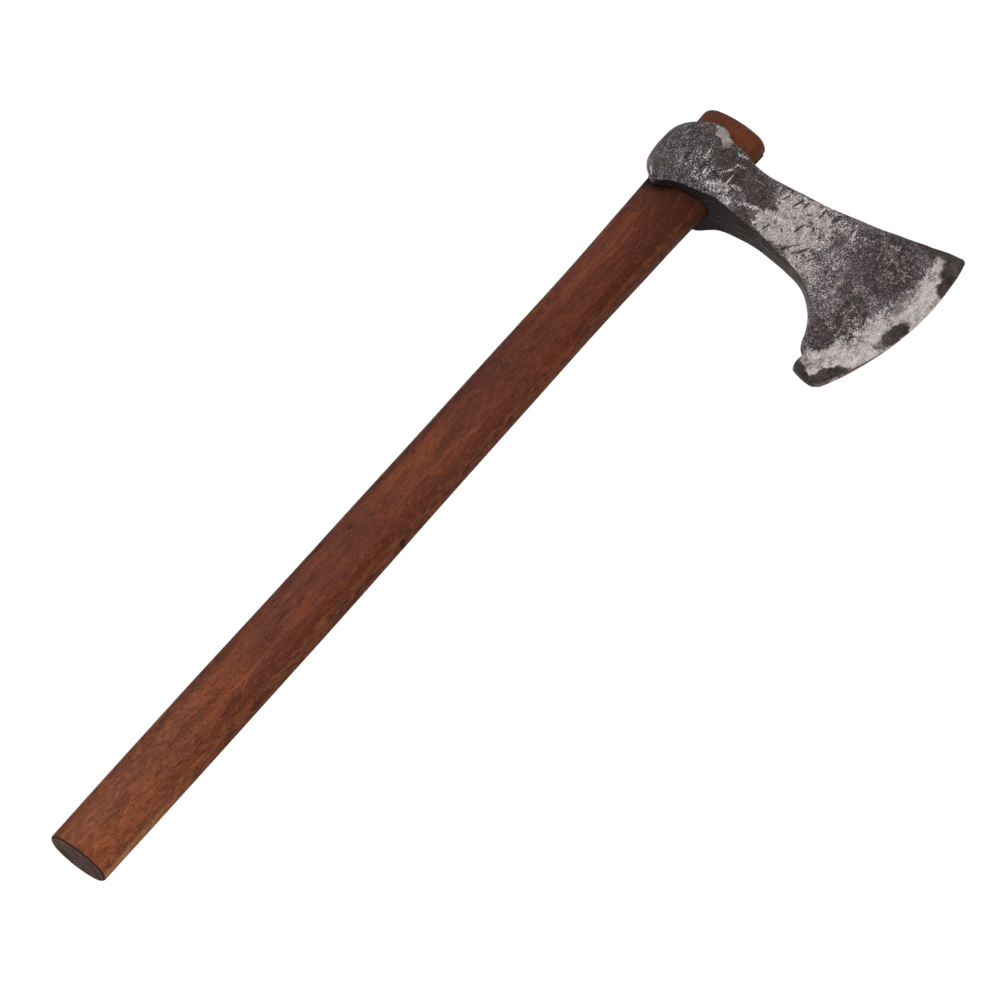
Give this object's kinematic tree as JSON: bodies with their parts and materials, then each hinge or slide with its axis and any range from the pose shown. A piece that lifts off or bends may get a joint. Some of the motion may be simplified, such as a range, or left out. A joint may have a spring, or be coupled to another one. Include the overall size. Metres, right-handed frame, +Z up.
{
  "type": "broad axe",
  "caption": "Bearded broad axe: forged iron head with a welded steel cutting edge, wedged on a straight hardwood haft of flattened oval section.",
  "frame": {"origin": "centre of the haft's butt end face", "axes": "+Z up the haft towards the head, +X from the poll towards the cutting edge, +Y across the thickness; the XZ plane is the plane of symmetry"},
  "size_m": [0.2021, 0.0414, 0.6505],
  "materials": {
    "forged_iron": "dark forge scale, hammered and pitted, worn bright on the high spots",
    "edge_steel": "ground by hand, bright band with dark patches and fine scratches",
    "stained_wood": "open-grained hardwood, red-brown stain, oiled satin",
    "wedge_wood": "paler end-grain hardwood, unstained",
    "wedge_steel": "plain steel, hammered top"
  },
  "bodies": {
    "root": {"head_body": "forged_iron", "steel_bit": "edge_steel", "haft": "stained_wood", "wooden_wedge": "wedge_wood", "steel_wedge": "wedge_steel"}
  },
  "joints": []
}
